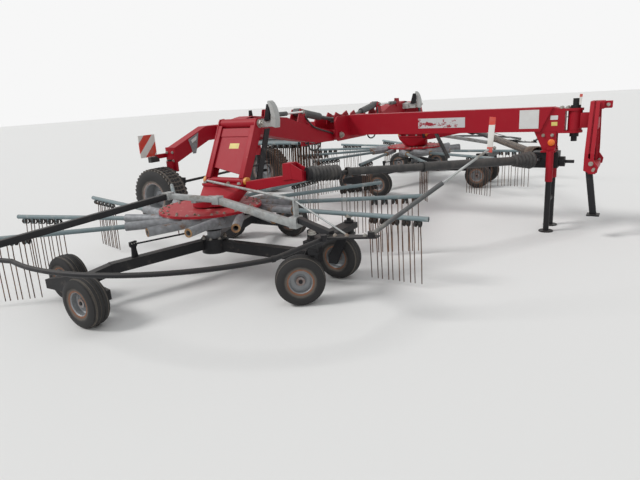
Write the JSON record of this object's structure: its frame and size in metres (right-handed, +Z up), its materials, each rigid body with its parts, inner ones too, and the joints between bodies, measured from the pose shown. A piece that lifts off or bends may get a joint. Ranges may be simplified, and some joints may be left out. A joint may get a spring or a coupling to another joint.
{
  "type": "twin rotor hay rake",
  "caption": "Trailed hay rake with two tined rotors on folding booms, a three-point headstock and a steered rear wheel chassis.",
  "frame": {"origin": "on the ground, under the middle of the whole machine", "axes": "+X forward to the headstock, +Y to the left, +Z up"},
  "size_m": [5.81, 9.214, 1.6],
  "materials": {
    "red_paint": "worn dark red paint",
    "black_paint": "worn black paint",
    "grey_paint": "grey castings with brown ends",
    "arm_steel": "blue-grey painted tubes, rusty tines",
    "galvanised": "galvanised and black tube",
    "rod": "bright rod",
    "tyre": "tyres on silver-grey rims",
    "board": "red and white boards",
    "shaft_guard": "black guard tube"
  },
  "bodies": {
    "frame": {"main_beam": "red_paint", "pivot_frame": "red_paint", "rear_beam": "red_paint", "rear_axle": "red_paint", "gearbox_bracket": "red_paint", "centre_gearbox": "black_paint", "marker_boards": "board", "swivel_pin": "black_paint"},
    "headstock": {"headstock": "red_paint"},
    "stand": {"stand_legs": "black_paint"},
    "track_rod": {"track_rod": "black_paint"},
    "knuckle_left": {"knuckle_left": "black_paint"},
    "rear_wheel_left": {"rear_wheel_left": "tyre"},
    "knuckle_right": {"knuckle_right": "black_paint"},
    "rear_wheel_right": {"rear_wheel_right": "tyre"},
    "wing_left": {"boom_left": "red_paint", "fork_left": "red_paint", "rotor_gearbox_left": "red_paint", "carriage_left": "black_paint", "rockers_left": "black_paint", "guard_left": "galvanised"},
    "rotor_left": {"rotor_head_left": "grey_paint", "arm_bearings_left": "grey_paint", "tine_arms_left": "arm_steel"},
    "drive_cross_left": {"drive_cross_left": "black_paint"},
    "shaft_inner_left": {"shaft_inner_left": "shaft_guard"},
    "shaft_outer_left": {"shaft_outer_left": "shaft_guard"},
    "cylinder_barrel_left": {"cylinder_barrel_left": "black_paint"},
    "cylinder_rod_left": {"cylinder_rod_left": "rod"},
    "caster_inner_left": {"caster_inner_left": "black_paint"},
    "caster_outer_left": {"caster_outer_left": "black_paint"},
    "wheel_caster_inner_left": {"wheel_caster_inner_left": "tyre"},
    "wheel_caster_outer_left": {"wheel_caster_outer_left": "tyre"},
    "wheel_rocker_inner_front_left": {"wheel_rocker_inner_front_left": "tyre"},
    "wheel_rocker_inner_rear_left": {"wheel_rocker_inner_rear_left": "tyre"},
    "wheel_rocker_outer_front_left": {"wheel_rocker_outer_front_left": "tyre"},
    "wheel_rocker_outer_rear_left": {"wheel_rocker_outer_rear_left": "tyre"},
    "wing_right": {"boom_right": "red_paint", "fork_right": "red_paint", "rotor_gearbox_right": "red_paint", "carriage_right": "black_paint", "rockers_right": "black_paint", "guard_right": "galvanised"},
    "rotor_right": {"rotor_head_right": "grey_paint", "arm_bearings_right": "grey_paint", "tine_arms_right": "arm_steel"},
    "drive_cross_right": {"drive_cross_right": "black_paint"},
    "shaft_inner_right": {"shaft_inner_right": "shaft_guard"},
    "shaft_outer_right": {"shaft_outer_right": "shaft_guard"},
    "cylinder_barrel_right": {"cylinder_barrel_right": "black_paint"},
    "cylinder_rod_right": {"cylinder_rod_right": "rod"},
    "caster_inner_right": {"caster_inner_right": "black_paint"},
    "caster_outer_right": {"caster_outer_right": "black_paint"},
    "wheel_caster_inner_right": {"wheel_caster_inner_right": "tyre"},
    "wheel_caster_outer_right": {"wheel_caster_outer_right": "tyre"},
    "wheel_rocker_inner_front_right": {"wheel_rocker_inner_front_right": "tyre"},
    "wheel_rocker_inner_rear_right": {"wheel_rocker_inner_rear_right": "tyre"},
    "wheel_rocker_outer_front_right": {"wheel_rocker_outer_front_right": "tyre"},
    "wheel_rocker_outer_rear_right": {"wheel_rocker_outer_rear_right": "tyre"}
  },
  "joints": [
    {"name": "headstock_swivel", "type": "hinge", "parent": "frame", "child": "headstock", "pos_m": [2.565, 0, 1.2], "axis": [0, 0, 1], "range_deg": [-22, 22]},
    {"name": "track_rod_slide", "type": "slide", "parent": "frame", "child": "track_rod", "axis": [0, 1, 0], "range_m": [-0.125, 0.125]},
    {"name": "steer_left", "type": "hinge", "parent": "frame", "child": "knuckle_left", "pos_m": [-2.515, 1.02, 0.6], "axis": [0, 0, 1], "range_deg": [-20, 20]},
    {"name": "rear_wheel_left_spin", "type": "hinge", "parent": "knuckle_left", "child": "rear_wheel_left", "pos_m": [-2.515, 1.25, 0.39], "axis": [0, 1, 0], "continuous": true},
    {"name": "steer_right", "type": "hinge", "parent": "frame", "child": "knuckle_right", "pos_m": [-2.515, -1.02, 0.6], "axis": [0, 0, 1], "range_deg": [-20, 20]},
    {"name": "rear_wheel_right_spin", "type": "hinge", "parent": "knuckle_right", "child": "rear_wheel_right", "pos_m": [-2.515, -1.25, 0.39], "axis": [0, 1, 0], "continuous": true},
    {"name": "stand_slide", "type": "slide", "parent": "frame", "child": "stand", "axis": [0, 0, 1], "range_m": [0, 0.18]},
    {"name": "fold_left", "type": "hinge", "parent": "frame", "child": "wing_left", "pos_m": [-0.265, 0.35, 1.115], "axis": [1, 0, 0], "range_deg": [0, 85]},
    {"name": "rotor_left_spin", "type": "hinge", "parent": "wing_left", "child": "rotor_left", "pos_m": [-0.265, 2.65, 0.6], "axis": [0, 0, 1], "continuous": true},
    {"name": "cylinder_left_pivot", "type": "hinge", "parent": "wing_left", "child": "cylinder_barrel_left", "pos_m": [-0.265, 1.05, 1.44], "axis": [1, 0, 0], "range_deg": [-10, 12]},
    {"name": "cylinder_left_stroke", "type": "slide", "parent": "cylinder_barrel_left", "child": "cylinder_rod_left", "axis": [0, -0.9861, -0.1663], "range_m": [-0.3, 0]},
    {"name": "drive_cross_left_tilt", "type": "hinge", "parent": "frame", "child": "drive_cross_left", "pos_m": [2.215, 0.18, 0.8], "axis": [1, 0, 0], "range_deg": [-5, 80]},
    {"name": "drive_shaft_left_swing", "type": "hinge", "parent": "drive_cross_left", "child": "shaft_inner_left", "pos_m": [2.215, 0.18, 0.8], "axis": [0, -0.0681, 0.9977], "range_deg": [-6, 6]},
    {"name": "drive_shaft_left_telescope", "type": "slide", "parent": "shaft_inner_left", "child": "shaft_outer_left", "axis": [-0.5466, 0.8355, 0.057], "range_m": [0, 0.25]},
    {"name": "caster_inner_left_swivel", "type": "hinge", "parent": "wing_left", "child": "caster_inner_left", "pos_m": [1.055, 2.345, 0.45], "axis": [0, 0, 1], "range_deg": [-45, 45]},
    {"name": "wheel_caster_inner_left_spin", "type": "hinge", "parent": "caster_inner_left", "child": "wheel_caster_inner_left", "pos_m": [0.94, 2.345, 0.203], "axis": [0, 1, 0], "continuous": true},
    {"name": "caster_outer_left_swivel", "type": "hinge", "parent": "wing_left", "child": "caster_outer_left", "pos_m": [1.055, 2.955, 0.45], "axis": [0, 0, 1], "range_deg": [-45, 45]},
    {"name": "wheel_caster_outer_left_spin", "type": "hinge", "parent": "caster_outer_left", "child": "wheel_caster_outer_left", "pos_m": [0.94, 2.955, 0.203], "axis": [0, 1, 0], "continuous": true},
    {"name": "wheel_rocker_inner_front_left_spin", "type": "hinge", "parent": "wing_left", "child": "wheel_rocker_inner_front_left", "pos_m": [-0.32, 1.25, 0.203], "axis": [0, 1, 0], "continuous": true},
    {"name": "wheel_rocker_inner_rear_left_spin", "type": "hinge", "parent": "wing_left", "child": "wheel_rocker_inner_rear_left", "pos_m": [-1.01, 1.57, 0.203], "axis": [0, 1, 0], "continuous": true},
    {"name": "wheel_rocker_outer_front_left_spin", "type": "hinge", "parent": "wing_left", "child": "wheel_rocker_outer_front_left", "pos_m": [-0.32, 4.05, 0.203], "axis": [0, 1, 0], "continuous": true},
    {"name": "wheel_rocker_outer_rear_left_spin", "type": "hinge", "parent": "wing_left", "child": "wheel_rocker_outer_rear_left", "pos_m": [-1.01, 3.73, 0.203], "axis": [0, 1, 0], "continuous": true},
    {"name": "fold_right", "type": "hinge", "parent": "frame", "child": "wing_right", "pos_m": [-0.265, -0.35, 1.115], "axis": [-1, 0, 0], "range_deg": [0, 85]},
    {"name": "rotor_right_spin", "type": "hinge", "parent": "wing_right", "child": "rotor_right", "pos_m": [-0.265, -2.65, 0.6], "axis": [0, 0, 1], "continuous": true},
    {"name": "cylinder_right_pivot", "type": "hinge", "parent": "wing_right", "child": "cylinder_barrel_right", "pos_m": [-0.265, -1.05, 1.44], "axis": [-1, 0, 0], "range_deg": [-10, 12]},
    {"name": "cylinder_right_stroke", "type": "slide", "parent": "cylinder_barrel_right", "child": "cylinder_rod_right", "axis": [0, 0.9861, -0.1663], "range_m": [-0.3, 0]},
    {"name": "drive_cross_right_tilt", "type": "hinge", "parent": "frame", "child": "drive_cross_right", "pos_m": [2.215, -0.18, 0.8], "axis": [-1, 0, 0], "range_deg": [-5, 80]},
    {"name": "drive_shaft_right_swing", "type": "hinge", "parent": "drive_cross_right", "child": "shaft_inner_right", "pos_m": [2.215, -0.18, 0.8], "axis": [0, -0.0681, -0.9977], "range_deg": [-6, 6]},
    {"name": "drive_shaft_right_telescope", "type": "slide", "parent": "shaft_inner_right", "child": "shaft_outer_right", "axis": [-0.5466, -0.8355, 0.057], "range_m": [0, 0.25]},
    {"name": "caster_inner_right_swivel", "type": "hinge", "parent": "wing_right", "child": "caster_inner_right", "pos_m": [1.055, -2.345, 0.45], "axis": [0, 0, 1], "range_deg": [-45, 45]},
    {"name": "wheel_caster_inner_right_spin", "type": "hinge", "parent": "caster_inner_right", "child": "wheel_caster_inner_right", "pos_m": [0.94, -2.345, 0.203], "axis": [0, 1, 0], "continuous": true},
    {"name": "caster_outer_right_swivel", "type": "hinge", "parent": "wing_right", "child": "caster_outer_right", "pos_m": [1.055, -2.955, 0.45], "axis": [0, 0, 1], "range_deg": [-80, 10]},
    {"name": "wheel_caster_outer_right_spin", "type": "hinge", "parent": "caster_outer_right", "child": "wheel_caster_outer_right", "pos_m": [0.9608, -3.02096, 0.203], "axis": [-0.5736, 0.8192, 0], "continuous": true},
    {"name": "wheel_rocker_inner_front_right_spin", "type": "hinge", "parent": "wing_right", "child": "wheel_rocker_inner_front_right", "pos_m": [-0.32, -1.25, 0.203], "axis": [0, 1, 0], "continuous": true},
    {"name": "wheel_rocker_inner_rear_right_spin", "type": "hinge", "parent": "wing_right", "child": "wheel_rocker_inner_rear_right", "pos_m": [-1.01, -1.57, 0.203], "axis": [0, 1, 0], "continuous": true},
    {"name": "wheel_rocker_outer_front_right_spin", "type": "hinge", "parent": "wing_right", "child": "wheel_rocker_outer_front_right", "pos_m": [-0.32, -4.05, 0.203], "axis": [0, 1, 0], "continuous": true},
    {"name": "wheel_rocker_outer_rear_right_spin", "type": "hinge", "parent": "wing_right", "child": "wheel_rocker_outer_rear_right", "pos_m": [-1.01, -3.73, 0.203], "axis": [0, 1, 0], "continuous": true}
  ],
  "couplings": [
    {"joint": "track_rod_slide", "follows": "headstock_swivel", "m_per_rad": -0.184},
    {"joint": "steer_left", "follows": "headstock_swivel", "ratio": -0.8},
    {"joint": "steer_right", "follows": "headstock_swivel", "ratio": -0.8},
    {"joint": "cylinder_left_pivot", "follows": "fold_left", "ratio": 0.0541},
    {"joint": "cylinder_left_stroke", "follows": "fold_left", "m_per_rad": -0.2},
    {"joint": "drive_cross_left_tilt", "follows": "fold_left", "ratio": 0.8758},
    {"joint": "drive_shaft_left_swing", "follows": "fold_left", "ratio": -0.0288},
    {"joint": "drive_shaft_left_telescope", "follows": "fold_left", "m_per_rad": 0.128},
    {"joint": "cylinder_right_pivot", "follows": "fold_right", "ratio": 0.0541},
    {"joint": "cylinder_right_stroke", "follows": "fold_right", "m_per_rad": -0.2},
    {"joint": "drive_cross_right_tilt", "follows": "fold_right", "ratio": 0.8758},
    {"joint": "drive_shaft_right_swing", "follows": "fold_right", "ratio": -0.0288},
    {"joint": "drive_shaft_right_telescope", "follows": "fold_right", "m_per_rad": 0.128}
  ]
}
